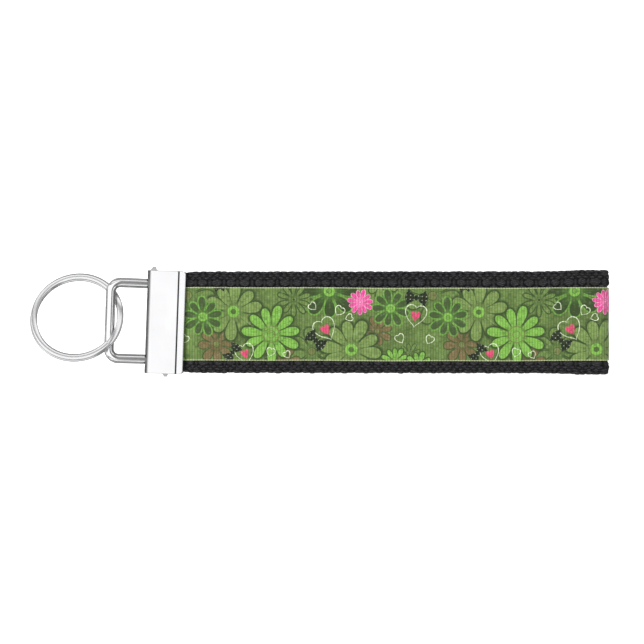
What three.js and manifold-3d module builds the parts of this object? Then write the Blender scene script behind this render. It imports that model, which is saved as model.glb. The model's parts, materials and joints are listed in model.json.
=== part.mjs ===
// Wristlet keychain, lying flat on its back: a printed ribbon on a strap of webbing that is folded
// in half, its two ends held in a crimp clamp, which carries a wire bail and a split ring.
// Millimetres, +Z up. The split ring is towards -X and the strap's fold towards +X.
// The origin is under the middle of the object, on the surface that it lies on.

import * as THREE from 'three';
import { mergeVertices } from 'three/addons/utils/BufferGeometryUtils.js';
import Module from 'manifold-3d';

const wasm = await Module();
wasm.setup();

// Strap: two legs of webbing, one above the other, joined by the fold.
const WEB_WIDTH = 31.75;
const WEB_THICK = 2.0;
const WEB_EDGE_R = 0.8;
const LEG_GAP = 1.4;
const FOLD_END_X = 89.95;
const FOLD_CUT = 0.3; // the fold is parted here, on the middle plane between the legs

// Bend lines: each leg bends at evenly spaced lines, and its pieces leave a small gap at each.
const FIRST_BEND_X = -37;
const BEND_STEP = 15;
const BENDS = 9;
const BEND_GAP = 0.8;

// Ribbon, on the outside of the webbing, a little off its centre line.
const RIBBON_WIDTH = 22.8;
const RIBBON_THICK = 0.35;
const RIBBON_EDGE_R = 0.12;
const RIBBON_LIFT = 0.05;
const RIBBON_Y = -0.6;

// Crimp clamp: one bent sheet, with a spine, two jaws, and a row of teeth behind each lip.
const CLAMP_X = -48.18;
const CLAMP_SKEW = THREE.MathUtils.degToRad(-2);
const CLAMP_DEPTH = 12.05;
const CLAMP_WIDTH = 32;
const CLAMP_HEIGHT = 6.4;
const SHEET = 0.8;
const SPINE_R = 1.6;
const CREASE_FROM_LIP = 2.25;
const CREASE_DEEP = 0.35;
const CREASE_HALF = 0.4;
const LIP_EDGE_R = 0.35;
const LIP_CORNER_R = 1.2;
const TOOTH_TALL = 0.4;
const TOOTH_DEEP = 0.8;
const TOOTH_HALF = 0.5;
const TOOTH_PITCH = 2.6;
const TEETH = 11;
const TOOTH_FROM_LIP = 1.0;
const LUG_BASE = 2.4;
const LUG_TIP = 0.8;
const LUG_TALL = 1.1;
const LUG_ROOT = 0.5;
const LUG_THICK = 0.64;
const LUG_INSET = 0.08;
const LUG_FRONT_X = -4.0;
const LUG_BACK_X = 0.1;
const WELD = 0.1; // teeth start this far inside the sheet, so that they are one solid with it

// Strap ends inside the clamp: squeezed a little, and pinched under the teeth.
const GRIP_GAP = 0.2;
const GRIP_CLEAR = 0.05;
const GRIP_START = 5.3;
const PINCH_DEEP = 0.5;
const PINCH_HALF = 0.7;
const PINCH_SLOPE = 0.5;
const SWELL_START = 0.9;
const SWELL_END = 3.6;
const GRIP_NARROWING = 0.4;

// Bail: a closed wire loop, butted in the middle of the bar that lies inside the spine.
const BAIL_WIRE_R = 1.5;
const BAIL_WIDTH = 26.55;
const BAIL_CORNER_R = 2.95;
const BAIL_INNER_CORNER_R = 1.6;
const BAIL_Y = 0.06;
const BAR_X = -65.15;
const BAIL_LIFT = THREE.MathUtils.degToRad(16.4);
const BUTT_GAP = 0.3;
const BAIL_STEPS = 84;
const INNER_BAR_CLEAR = 0.15;
const SLOT_SIDE_CLEAR = 0.35;
const SLOT_TALL = 5.0;

// Split ring: flat wire coiled almost twice, with a step between its two ends.
const RING_OUTER_R = 14.5;
const RING_WIRE_WIDE = 2.0;
const RING_WIRE_THICK = 1.1;
const RING_PITCH = 1.2;
const RING_WIRE_EDGE_R = 0.35;
const RING_X = -75.43;
const RING_Y = 1.6;
const RING_TILT = THREE.MathUtils.degToRad(-24);
const RING_STEP = THREE.MathUtils.degToRad(60);
const RING_STEP_AT = THREE.MathUtils.degToRad(-10);
const RING_REST_GAP = 0.02;
const RING_STEPS = 110;

// How finely round shapes are divided.
const CURVE_STEPS = 8;
const EDGE_STEPS = 2;
const WIRE_SIDES = 14;

// Sizes that follow from the ones above.
const MID_Z = CLAMP_HEIGHT / 2;
const LEG_INNER = LEG_GAP / 2;
const RIBBON_INNER = LEG_INNER + WEB_THICK + RIBBON_LIFT;
const RIBBON_OUTER = RIBBON_INNER + RIBBON_THICK;
const FOLD_X = FOLD_END_X - RIBBON_OUTER;
const LIP_X = CLAMP_DEPTH / 2;
const GRIP_OUTER = MID_Z - SHEET - GRIP_CLEAR;
const SPINE_X = -CLAMP_DEPTH / 2;
const INNER_BAR_X = SPINE_X + SHEET + BAIL_WIRE_R + INNER_BAR_CLEAR;
const SHEET_INNER = CLAMP_HEIGHT / 2 - SHEET;

const steel = { color: 0xdadcdf, metalness: 1.0, roughness: 0.18 };
const clampFinish = () => new THREE.MeshStandardMaterial(steel);
const bailFinish = () => new THREE.MeshStandardMaterial({ ...steel, roughness: 0.14 });
const ringFinish = () => new THREE.MeshStandardMaterial({ ...steel, roughness: 0.22 });
const webbingFinish = () => new THREE.MeshStandardMaterial({ color: 0x202022, metalness: 0, roughness: 0.92 });
const ribbonFinish = () => new THREE.MeshStandardMaterial({ color: 0x5f8a45, metalness: 0, roughness: 0.8 });

// ---- solids and outlines ----

function toSolid(geometry) {
  const bare = geometry.clone();
  bare.deleteAttribute('normal');
  bare.deleteAttribute('uv');
  const merged = mergeVertices(bare, 1e-4);
  return new wasm.Manifold(new wasm.Mesh({
    numProp: 3,
    vertProperties: new Float32Array(merged.attributes.position.array),
    triVerts: new Uint32Array(merged.index.array),
  }));
}

function toGeometry(solid) {
  const mesh = solid.getMesh();
  const geometry = new THREE.BufferGeometry();
  geometry.setAttribute('position', new THREE.BufferAttribute(mesh.vertProperties, 3));
  geometry.setIndex(new THREE.BufferAttribute(mesh.triVerts, 1));
  geometry.computeVertexNormals();
  return geometry;
}

function roundedRectangle(width, height, radius) {
  const x = width / 2;
  const y = height / 2;
  const shape = new THREE.Shape();
  shape.moveTo(-x + radius, -y);
  shape.lineTo(x - radius, -y);
  shape.absarc(x - radius, -y + radius, radius, -Math.PI / 2, 0);
  shape.lineTo(x, y - radius);
  shape.absarc(x - radius, y - radius, radius, 0, Math.PI / 2);
  shape.lineTo(-x + radius, y);
  shape.absarc(-x + radius, y - radius, radius, Math.PI / 2, Math.PI);
  shape.lineTo(-x, -y + radius);
  shape.absarc(-x + radius, -y + radius, radius, Math.PI, 1.5 * Math.PI);
  return shape;
}

// A section drawn in X and Z, drawn out along Y and centred on it.
function alongY(shape, width, curveSegments = CURVE_STEPS) {
  const geometry = new THREE.ExtrudeGeometry(shape, { depth: width, bevelEnabled: false, curveSegments });
  return geometry.rotateX(Math.PI / 2).translate(0, width / 2, 0);
}

// A section drawn in Y and Z, drawn out along X from its start.
function alongX(shape, length, curveSegments) {
  const geometry = new THREE.ExtrudeGeometry(shape, { depth: length, bevelEnabled: false, curveSegments });
  const turn = new THREE.Matrix4().makeBasis(
    new THREE.Vector3(0, 1, 0), new THREE.Vector3(0, 0, 1), new THREE.Vector3(1, 0, 0));
  return geometry.applyMatrix4(turn);
}

function polygon(points) {
  return new THREE.Shape(points.map(([first, second]) => new THREE.Vector2(first, second)));
}

function named(name, geometry, material) {
  const mesh = new THREE.Mesh(geometry, material);
  mesh.name = name;
  return mesh;
}

const bendX = (index) => FIRST_BEND_X + index * BEND_STEP;

// ---- crimp clamp ----

// The sheet's section, from the middle of the spine out to the lip and back inside, above the middle plane.
function jawOutline() {
  const top = CLAMP_HEIGHT / 2;
  const crease = LIP_X - CREASE_FROM_LIP;
  const path = new THREE.Path();
  path.moveTo(SPINE_X, 0);
  path.absarc(SPINE_X + SPINE_R, top - SPINE_R, SPINE_R, Math.PI, Math.PI / 2, true);
  path.lineTo(crease - CREASE_HALF, top);
  path.lineTo(crease, top - CREASE_DEEP);
  path.lineTo(crease + CREASE_HALF, top);
  path.lineTo(LIP_X - LIP_EDGE_R, top);
  path.absarc(LIP_X - LIP_EDGE_R, top - LIP_EDGE_R, LIP_EDGE_R, Math.PI / 2, 0, true);
  path.lineTo(LIP_X, SHEET_INNER);
  path.lineTo(SPINE_X + SPINE_R, SHEET_INNER);
  path.absarc(SPINE_X + SPINE_R, top - SPINE_R, SPINE_R - SHEET, Math.PI / 2, Math.PI, false);
  return path.getPoints(CURVE_STEPS);
}

function clampGeometry() {
  const upper = jawOutline();
  const lower = upper.map((point) => new THREE.Vector2(point.x, -point.y)).reverse();
  let clamp = toSolid(alongY(new THREE.Shape([...upper, ...lower]), CLAMP_WIDTH));

  // The lip's corners are rounded in plan; the plan reaches past the spine, so only they are cut.
  const planLength = CLAMP_DEPTH + 2 * LIP_CORNER_R;
  const plan = new THREE.ExtrudeGeometry(roundedRectangle(planLength, CLAMP_WIDTH, LIP_CORNER_R),
    { depth: 2 * CLAMP_HEIGHT, bevelEnabled: false, curveSegments: CURVE_STEPS });
  plan.translate(LIP_X - planLength / 2, 0, -CLAMP_HEIGHT);
  clamp = clamp.intersect(toSolid(plan));

  // Two slots in the spine let the bail's arms in.
  const slotWide = 2 * (BAIL_WIRE_R + SLOT_SIDE_CLEAR);
  for (const side of [-1, 1]) {
    const slot = new THREE.BoxGeometry(2 * SPINE_R, slotWide, SLOT_TALL);
    slot.translate(SPINE_X, BAIL_Y + side * (BAIL_WIDTH / 2 - BAIL_WIRE_R), 0);
    clamp = clamp.subtract(toSolid(slot));
  }

  const edge = CLAMP_WIDTH / 2;
  // Teeth stand inwards from both jaws, and a small lug stands out at one end of each jaw.
  for (const jaw of [-1, 1]) {
    const root = SHEET_INNER + WELD;
    const tooth = polygon([[-TOOTH_HALF, root], [0, SHEET_INNER - TOOTH_TALL], [TOOTH_HALF, root]]);
    for (let index = 0; index < TEETH; index += 1) {
      const wedge = alongX(tooth, TOOTH_DEEP, 1);
      wedge.translate(LIP_X - TOOTH_FROM_LIP - TOOTH_DEEP / 2, (index - (TEETH - 1) / 2) * TOOTH_PITCH, 0);
      if (jaw < 0) wedge.rotateX(Math.PI);
      clamp = clamp.add(toSolid(wedge));
    }
    const lugX = jaw > 0 ? LUG_FRONT_X : LUG_BACK_X;
    const lugPlan = polygon([
      [lugX - LUG_BASE / 2, edge - LUG_ROOT],
      [lugX + LUG_BASE / 2, edge - LUG_ROOT],
      [lugX + LUG_TIP / 2, edge + LUG_TALL],
      [lugX - LUG_TIP / 2, edge + LUG_TALL],
    ]);
    const lug = new THREE.ExtrudeGeometry(lugPlan, { depth: LUG_THICK, bevelEnabled: false });
    lug.translate(0, 0, CLAMP_HEIGHT / 2 - LUG_INSET - LUG_THICK);
    if (jaw < 0) lug.rotateX(Math.PI);
    clamp = clamp.add(toSolid(lug));
  }
  return toGeometry(clamp);
}

// ---- bail ----

// The loop's centre line, drawn about the inner bar, from one side of the butt joint to the other.
class BailLine extends THREE.CurvePath {
  constructor(reach) {
    super();
    const half = BAIL_WIDTH / 2 - BAIL_WIRE_R;
    const at = (x, y) => new THREE.Vector3(x, y, 0);
    const corners = [[0, half], [-reach, half], [-reach, -half], [0, -half]];
    const inward = [[-1, -1], [1, -1], [1, 1], [-1, 1]];
    let from = at(0, BUTT_GAP / 2);
    corners.forEach(([x, y], index) => {
      const [sx, sy] = inward[index];
      const r = x < 0 ? BAIL_CORNER_R : BAIL_INNER_CORNER_R;
      const comesAlongY = index % 2 === 0;
      const enter = comesAlongY ? at(x, y + sy * r) : at(x + sx * r, y);
      const leave = comesAlongY ? at(x + sx * r, y) : at(x, y + sy * r);
      this.add(new THREE.LineCurve3(from, enter));
      this.add(new CornerArc(at(x + sx * r, y + sy * r), enter, leave));
      from = leave;
    });
    this.add(new THREE.LineCurve3(from, at(0, -BUTT_GAP / 2)));
  }
}

class CornerArc extends THREE.Curve {
  constructor(centre, enter, leave) {
    super();
    this.centre = centre;
    this.enter = enter.clone().sub(centre);
    this.leave = leave.clone().sub(centre);
  }

  getPoint(t, target = new THREE.Vector3()) {
    const angle = t * Math.PI / 2;
    return target.copy(this.centre)
      .addScaledVector(this.enter, Math.cos(angle))
      .addScaledVector(this.leave, Math.sin(angle));
  }
}

function bailGeometry(reach) {
  const wire = new THREE.Shape();
  wire.absarc(0, 0, BAIL_WIRE_R, 0, 2 * Math.PI);
  return new THREE.ExtrudeGeometry(wire, {
    steps: BAIL_STEPS, curveSegments: WIRE_SIDES, bevelEnabled: false, extrudePath: new BailLine(reach),
  });
}

// ---- split ring ----

// A straight bar of the wire's section, coiled about Z: its length becomes the angle round the ring.
function ringGeometry() {
  const wireR = RING_OUTER_R - RING_WIRE_WIDE / 2;
  const coiled = 4 * Math.PI - RING_STEP;
  const section = roundedRectangle(RING_WIRE_WIDE, RING_WIRE_THICK, RING_WIRE_EDGE_R);
  const ring = new THREE.ExtrudeGeometry(section,
    { depth: coiled, steps: RING_STEPS, curveSegments: EDGE_STEPS, bevelEnabled: false });
  const place = ring.attributes.position;
  for (let index = 0; index < place.count; index += 1) {
    const along = place.getZ(index);
    const fromMiddle = (along - coiled / 2) / (RING_STEP / 2);
    const ease = THREE.MathUtils.smoothstep(fromMiddle, -1, 1);
    const angle = RING_STEP_AT - (along - coiled / 2);
    const radius = wireR + place.getX(index);
    const rise = place.getY(index) + RING_PITCH * (0.5 - ease);
    place.setXYZ(index, radius * Math.cos(angle), radius * Math.sin(angle), rise);
  }
  return ring;
}

// ---- strap ----

function webbingPiece(length) {
  return alongX(roundedRectangle(WEB_WIDTH, WEB_THICK, WEB_EDGE_R), length, 2 * EDGE_STEPS);
}

function ribbonPiece(length) {
  return alongX(roundedRectangle(RIBBON_WIDTH, RIBBON_THICK, RIBBON_EDGE_R), length, EDGE_STEPS);
}

// The outer face of a gripped end: level in the clamp, pinched under the teeth, then swelling out.
function gripFace(depthUnderRibbon) {
  const toothX = CLAMP_X + LIP_X - TOOTH_FROM_LIP;
  const lip = CLAMP_X + LIP_X;
  const level = GRIP_OUTER - depthUnderRibbon;
  const pinched = level - PINCH_DEEP;
  const full = RIBBON_OUTER - depthUnderRibbon;
  return [
    [CLAMP_X + SPINE_X + GRIP_START, level],
    [toothX - PINCH_HALF - PINCH_SLOPE, level],
    [toothX - PINCH_HALF, pinched],
    [toothX + PINCH_HALF, pinched],
    [lip + SWELL_START, level],
    [lip + SWELL_END, full],
    [bendX(0) - BEND_GAP / 2, full],
  ];
}

function webbingEnd() {
  const outer = gripFace(RIBBON_THICK + RIBBON_LIFT);
  const lip = CLAMP_X + LIP_X;
  const inner = [
    [outer[outer.length - 1][0], LEG_INNER],
    [lip + SWELL_END, LEG_INNER],
    [lip, GRIP_GAP / 2],
    [outer[0][0], GRIP_GAP / 2],
  ];
  return alongY(polygon([...outer, ...inner]), WEB_WIDTH - GRIP_NARROWING);
}

function ribbonEnd() {
  const outer = gripFace(0);
  const inner = gripFace(RIBBON_THICK).reverse();
  return alongY(polygon([...outer, ...inner]), RIBBON_WIDTH);
}

// One half of the fold: a short straight, then a quarter turn that stops short of the middle plane.
function foldHalf(inside, outside, width) {
  const start = bendX(BENDS - 1) + BEND_GAP / 2;
  const cut = FOLD_CUT / 2;
  const shape = new THREE.Shape();
  shape.moveTo(start, inside);
  shape.lineTo(start, outside);
  shape.lineTo(FOLD_X, outside);
  shape.absarc(FOLD_X, 0, outside, Math.PI / 2, Math.asin(cut / outside), true);
  shape.lineTo(FOLD_X + Math.sqrt(inside ** 2 - cut ** 2), cut);
  shape.absarc(FOLD_X, 0, inside, Math.asin(cut / inside), Math.PI / 2, false);
  return alongY(shape, width);
}

// A leg is drawn above the middle plane; the back leg is the front one turned over about X.
function strapLeg(side) {
  const leg = new THREE.Group();
  const ribbonY = side === 'front' ? RIBBON_Y : -RIBBON_Y;
  leg.rotation.x = side === 'front' ? 0 : Math.PI;
  leg.position.z = MID_Z;

  const addPair = (label, webbing, ribbon, x, webbingZ, ribbonZ) => {
    const under = named(`webbing_${label}`, webbing, webbingFinish());
    const over = named(`ribbon_${label}`, ribbon, ribbonFinish());
    under.position.set(x, 0, webbingZ);
    over.position.set(x, ribbonY, ribbonZ);
    leg.add(under, over);
  };

  addPair(`end_${side}`, webbingEnd(), ribbonEnd(), 0, 0, 0);
  const length = BEND_STEP - BEND_GAP;
  const webbingZ = LEG_INNER + WEB_THICK / 2;
  const ribbonZ = RIBBON_INNER + RIBBON_THICK / 2;
  for (let index = 1; index < BENDS; index += 1) {
    const start = bendX(index - 1) + BEND_GAP / 2;
    addPair(`${side}_${index}`, webbingPiece(length), ribbonPiece(length), start, webbingZ, ribbonZ);
  }
  const webbingFold = foldHalf(LEG_INNER, LEG_INNER + WEB_THICK, WEB_WIDTH);
  const ribbonFold = foldHalf(RIBBON_INNER, RIBBON_OUTER, RIBBON_WIDTH);
  addPair(`fold_${side}`, webbingFold, ribbonFold, 0, 0, 0);
  return leg;
}

// ---- assembly ----

const group = new THREE.Group();

const clampFrame = new THREE.Group();
clampFrame.position.set(CLAMP_X, 0, MID_Z);
clampFrame.rotation.z = CLAMP_SKEW;
clampFrame.add(named('clamp', clampGeometry(), clampFinish()));

// The bail is stored lifted, so that the ring under it can lie on the surface too.
const reach = (CLAMP_X + INNER_BAR_X - BAR_X) / Math.cos(BAIL_LIFT);
const bail = named('bail', bailGeometry(reach), bailFinish());
bail.position.set(INNER_BAR_X, BAIL_Y, 0);
bail.rotation.y = BAIL_LIFT;
clampFrame.add(bail);

const ring = named('split_ring', ringGeometry(), ringFinish());
const ringHalfTall = (RING_WIRE_THICK + RING_PITCH) / 2;
const ringDrop = RING_OUTER_R * Math.sin(-RING_TILT) + ringHalfTall * Math.cos(RING_TILT);
ring.position.set(RING_X, RING_Y, ringDrop + RING_REST_GAP);
ring.rotation.x = RING_TILT;

group.add(clampFrame, ring, strapLeg('front'), strapLeg('back'));

export default group;
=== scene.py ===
"""Looks of the wristlet keychain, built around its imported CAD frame.

Metres, +Z up. The split ring is towards -X and the strap's fold towards +X.
"""

import json
import math

import bmesh
import bpy
import numpy as np
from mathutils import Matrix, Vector


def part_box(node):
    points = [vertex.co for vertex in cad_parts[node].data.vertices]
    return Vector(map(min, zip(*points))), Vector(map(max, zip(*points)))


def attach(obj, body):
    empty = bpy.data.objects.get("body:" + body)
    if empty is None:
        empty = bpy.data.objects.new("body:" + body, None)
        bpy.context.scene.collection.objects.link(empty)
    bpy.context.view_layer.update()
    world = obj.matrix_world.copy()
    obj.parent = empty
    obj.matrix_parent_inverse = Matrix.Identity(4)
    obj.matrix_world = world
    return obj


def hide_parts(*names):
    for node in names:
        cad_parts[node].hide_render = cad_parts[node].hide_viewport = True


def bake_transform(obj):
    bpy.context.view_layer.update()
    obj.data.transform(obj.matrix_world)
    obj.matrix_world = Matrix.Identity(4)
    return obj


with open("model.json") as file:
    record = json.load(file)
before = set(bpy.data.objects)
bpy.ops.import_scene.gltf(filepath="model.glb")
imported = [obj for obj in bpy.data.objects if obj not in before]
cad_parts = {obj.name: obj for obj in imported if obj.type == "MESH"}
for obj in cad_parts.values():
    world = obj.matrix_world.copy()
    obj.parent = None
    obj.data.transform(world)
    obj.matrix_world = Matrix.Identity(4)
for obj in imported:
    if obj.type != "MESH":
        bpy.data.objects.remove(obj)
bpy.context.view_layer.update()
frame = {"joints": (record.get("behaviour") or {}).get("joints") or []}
scene = bpy.context.scene

MM = 0.001
PI = math.pi


def span(node, axis):
    """A CAD node's lowest and highest value along one axis, in millimetres."""
    low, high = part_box(node)
    return low[axis] / MM, high[axis] / MM


# ---- sizes in millimetres, read from the frame ----

MID_Z = sum(span("clamp", 2)) / 2
CLAMP_HEIGHT = span("clamp", 2)[1] - span("clamp", 2)[0]
WEB_HALF_WIDTH = span("webbing_front_1", 1)[1]
WEB_INNER, WEB_OUTER = (z - MID_Z for z in span("webbing_front_1", 2))
RIBBON_INNER, RIBBON_OUTER = (z - MID_Z for z in span("ribbon_front_1", 2))
RIBBON_Y = sum(span("ribbon_front_1", 1)) / 2
RIBBON_HALF_WIDTH = span("ribbon_front_1", 1)[1] - RIBBON_Y
GRIP_X = span("webbing_end_front", 0)[0]
FOLD_X = span("ribbon_fold_front", 0)[1] - RIBBON_OUTER
HINGES = {j["name"]: j for j in frame["joints"]}
BEND_NAMES = {side: [name for name, joint in HINGES.items() if side in joint["child"]]
              for side in ("front", "back")}
BEND_X = [HINGES[name]["pos_m"][0] / MM for name in BEND_NAMES["front"]]
BEND_STEP = BEND_X[1] - BEND_X[0]
BENDS = len(BEND_X)

# ---- sizes of the metal in millimetres: the CAD's, and some that only show here ----

CLAMP_X = -48.18
CLAMP_SKEW = math.radians(-2)
CLAMP_DEPTH = 12.05
CLAMP_WIDTH = 32.0
SHEET = 0.8
SPINE_R = 1.6
LIP_X = CLAMP_X + CLAMP_DEPTH / 2
CREASE_FROM_LIP = 2.25
CREASE_DEEP = 0.36
CREASE_HALF = 0.27
LIP_EDGE_R = 0.32
LIP_CORNER_R = 1.2
END_EDGE_R = 0.22
RING_OUTER_R = 14.5
RING_WIRE_WIDE = 2.0
RING_WIRE_THICK = 1.1
RING_PITCH = 1.2
RING_X, RING_Y = -75.43, 1.6
RING_TILT = math.radians(-24)
RING_REST_GAP = 0.02
RING_SLACK = 0.18          # the upper turn is this much narrower, and lies this much to one side
RING_OVAL = 1.012          # and both turns are drawn out of round by this much
RING_STEP = math.radians(60)    # the wire goes from one level to the other over this angle
RING_STEP_AT = math.radians(-10)
RING_FULLNESS = 0.78
RING_END_ROUNDING = 0.16
RING_END_SIZE = 0.80       # the wire narrows to this part of its section in that length
RING_STEPS = 360
WIRE_STEPS = 36
BAIL_WIRE_R = 1.5
BAIL_WIDTH = 26.55
BAIL_Y = 0.06
BAR_X = -65.15
BAIL_CORNER_R = 2.95
BAIL_INNER_CORNER_R = 1.6
BAIL_LIFT = math.radians(16.4)
BUTT_GAP = 0.3
INNER_BAR_CLEAR = 0.15
INNER_BAR_X = -CLAMP_DEPTH / 2 + SHEET + BAIL_WIRE_R + INNER_BAR_CLEAR

# ---- weave and ribs, in millimetres ----

WEFT_PITCH = 4.2           # a yarn goes over and under once in this length
ROWS_FACE = 17             # yarns side by side on one face of the webbing
ROWS_FINE = 2              # of which this many beside each edge are finer
FINE_PITCH = 0.82
ROWS_EDGE = 2              # yarns round each edge
EDGE_PITCH = 1.5
ROWS_TURN = ROWS_FACE + ROWS_EDGE
ROWS = 2 * ROWS_TURN
YARN_HIGH = 0.34
LUMP_HALF = 0.37           # half a lump's length and half a ridge's, in wefts
RIDGE_HALF = 0.13
RIDGE_HIGH = 0.62          # a ridge's height beside a lump's
WEB_STEP = 0.28            # the webbing's stations are about this far apart
FOLD_PUFF = 0.5            # the fold stands out this much beside the ribbon
FOLD_SPREAD = 0.42         # and the webbing spreads this much on each side before it
PLIES_PER_MM = 1.95
RIB_PITCH = 0.83
RIB_HIGH = 0.055
RIB_STEPS = 8
SELVAGE = 0.17


def smooth(t):
    t = np.clip(t, 0.0, 1.0)
    return t * t * (3 - 2 * t)


def ease_through(x, keys):
    """A smooth curve through (place, value) pairs, level beyond the first and the last."""
    result = np.full_like(x, keys[0][1], dtype=float)
    for (x0, v0), (x1, v1) in zip(keys, keys[1:]):
        result += (v1 - v0) * smooth((x - x0) / (x1 - x0))
    return result


# ---- node graphs ----

class Graph:
    """Short calls for building one node tree."""

    def __init__(self, tree):
        self.tree = tree
        tree.nodes.clear()

    def feed(self, socket, value):
        if isinstance(value, bpy.types.NodeSocket):
            self.tree.links.new(value, socket)
        elif value is not None:
            socket.default_value = value

    def fill(self, node, values):
        """Feeds inputs, given by name or number."""
        for name, value in values.items():
            self.feed(node.inputs[name], value)
        return node

    def node(self, kind, *inputs, **settings):
        node = self.tree.nodes.new("ShaderNode" + kind)
        for name, value in settings.items():
            setattr(node, name, value)
        return self.fill(node, dict(enumerate(inputs)))

    def math(self, operation, *values):
        return self.node("Math", *values, operation=operation).outputs[0]

    def times(self, first, second):
        return self.math("MULTIPLY", first, second)

    def minus(self, first, second):
        return self.math("SUBTRACT", first, second)

    def over(self, first, second):
        return self.math("DIVIDE", first, second)

    def join(self, x, y):
        return self.node("CombineXYZ", x, y).outputs[0]

    def split(self, vector):
        return self.node("SeparateXYZ", vector).outputs

    def length(self, x, y):
        return self.node("VectorMath", self.join(x, y), operation="LENGTH").outputs["Value"]

    def ramp(self, value, low, high, at_low=0.0, at_high=1.0):
        """at_low below low, at_high above high, and a smooth step between them."""
        values = value, low, high, at_low, at_high
        return self.node("MapRange", *values, interpolation_type="SMOOTHSTEP").outputs[0]

    def mix(self, factor, first, second):
        node = self.node("Mix", data_type="RGBA")
        return self.fill(node, {0: factor, 6: first, 7: second}).outputs[2]

    def noise(self, vector, scale, detail=2.0, roughness=0.5):
        values = {"Vector": vector, "Scale": scale, "Detail": detail, "Roughness": roughness}
        return self.fill(self.node("TexNoise"), values).outputs["Fac"]

    def bump(self, height, distance, strength=1.0, normal=None):
        values = {"Strength": strength, "Distance": distance, "Height": height, "Normal": normal}
        return self.fill(self.node("Bump"), values).outputs["Normal"]


def material(name):
    made = bpy.data.materials.new(name)
    made.use_nodes = True
    graph = Graph(made.node_tree)
    shader = graph.node("BsdfPrincipled")
    graph.node("OutputMaterial", shader.outputs["BSDF"])
    return made, graph, shader


def colour(red, green, blue):
    """A colour given from 0 to 255, as the linear one that a shader takes."""
    def linear(value):
        value /= 255
        return value / 12.92 if value <= 0.04045 else ((value + 0.055) / 1.055) ** 2.4
    return (linear(red), linear(green), linear(blue), 1.0)


def metal(name, tint, roughness, grain):
    """Bright plated steel: faint drawn lines, slightly uneven gloss, and small specks of wear."""
    made, graph, shader = material(name)
    place = graph.node("TexCoord").outputs["Object"]
    stretched = graph.node("Mapping", place, None, None, grain).outputs[0]
    lines = graph.noise(stretched, 900.0, 3.0)
    cloud = graph.noise(place, 140.0, 3.0)
    specks = graph.ramp(graph.noise(place, 1500.0, 2.0, 0.7), 0.66, 0.74)
    uneven = graph.math("MULTIPLY_ADD", cloud, 0.10, roughness - 0.05)
    fine = graph.math("MULTIPLY_ADD", lines, 0.05, uneven)
    dimmed = tuple(0.88 * c for c in tint[:3]) + (1.0,)
    base = graph.mix(cloud, tint, dimmed)
    base = graph.mix(graph.times(specks, 0.16), base, (0.45, 0.44, 0.43, 1))
    wave = graph.noise(place, 45.0, 2.0)
    relief = graph.bump(lines, 0.000004, 0.5)
    graph.fill(shader, {
        "Base Color": base,
        "Roughness": graph.math("MULTIPLY_ADD", specks, 0.08, fine),
        "Metallic": 1.0,
        "Normal": graph.bump(wave, 0.00004, 0.5, relief)})
    return made, graph, shader, base


def clamp_metal():
    """The clamp's plating, with painted shade: a dark line in the pressed crease of each jaw and a darker
    band round the spine.
    """
    made, graph, shader, base = metal("clamp nickel", (0.82, 0.82, 0.83, 1), 0.15, (1, 0.04, 1))
    x, y, _ = graph.split(graph.node("TexCoord").outputs["Object"])
    crease = (CLAMP_X + math.cos(CLAMP_SKEW) * (CLAMP_DEPTH / 2 - CREASE_FROM_LIP)) * MM
    run = graph.math("MULTIPLY_ADD", y, math.tan(CLAMP_SKEW), x)
    off = graph.math("ABSOLUTE", graph.minus(run, crease))
    # painted shade: a dark line along the bottom of each jaw's crease
    crease_shade = graph.ramp(off, 0.10 * MM, 0.30 * MM, 0.85, 0.0)
    spine = (CLAMP_X - math.cos(CLAMP_SKEW) * CLAMP_DEPTH / 2) * MM
    # painted shade: a darker band round the rolled spine
    dimmed = graph.ramp(graph.minus(run, spine), 0.8 * MM, 1.4 * MM, 0.85, 0.0)
    spine_shaded = graph.mix(dimmed, base, (0.17, 0.17, 0.17, 1))
    graph.fill(shader, {"Base Color": graph.mix(crease_shade, spine_shaded, (0.06, 0.06, 0.06, 1))})
    return made


def webbing_material():
    """Black spun yarn: fibres along each yarn, with a painted highlight on the crest of each lump and painted
    shade in the grooves.
    """
    made, graph, shader = material("black webbing")
    u, v, _ = graph.split(graph.node("UVMap", uv_map="strap").outputs[0])
    lump = graph.node("Attribute", attribute_name="lump").outputs["Fac"]
    along_yarn = graph.join(graph.times(u, 0.55), graph.times(v, 7.0))
    fibres = graph.noise(along_yarn, 1.6, 4.0, 0.65)
    cloud = graph.noise(graph.join(u, v), 0.35, 3.0)
    fluff = graph.noise(graph.join(u, v), 5.5, 4.0, 0.7)
    tufts = graph.noise(graph.join(u, graph.times(v, 1.8)), 1.7, 3.0, 0.75)
    twist = graph.math("MULTIPLY_ADD", v, PLIES_PER_MM * 2 * PI, graph.times(u, 2.6))
    ply = graph.math("SINE", graph.math("MULTIPLY_ADD", fluff, 5.0, twist))
    # painted light: the colour runs from near black in the grooves to pale on each lump's crest
    crest = graph.ramp(lump, 0.08, 0.70, 0.05, 1.0)
    lit = crest
    for part in (graph.ramp(fibres, 0.34, 0.70, 0.25, 1.0), graph.ramp(ply, -1.0, 0.9, 0.35, 1.0),
                 graph.ramp(tufts, 0.38, 0.60, 0.35, 1.25)):
        lit = graph.times(lit, part)
    base = graph.mix(lit, colour(7, 7, 9), colour(83, 82, 84))
    base = graph.mix(graph.ramp(cloud, 0.35, 0.75, 0.0, 0.22), base, colour(30, 29, 31))
    strands = graph.bump(graph.math("MULTIPLY_ADD", ply, 0.3, fibres), 0.00012, 1.0)
    graph.fill(shader, {
        "Base Color": base,
        "Roughness": graph.ramp(fluff, 0.3, 0.8, 0.62, 0.85),
        "Specular IOR Level": 0.16,
        "Sheen Weight": 0.02,
        "Sheen Roughness": 0.4,
        "Normal": graph.bump(fluff, 0.00006, 0.7, strands)})
    return made


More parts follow.
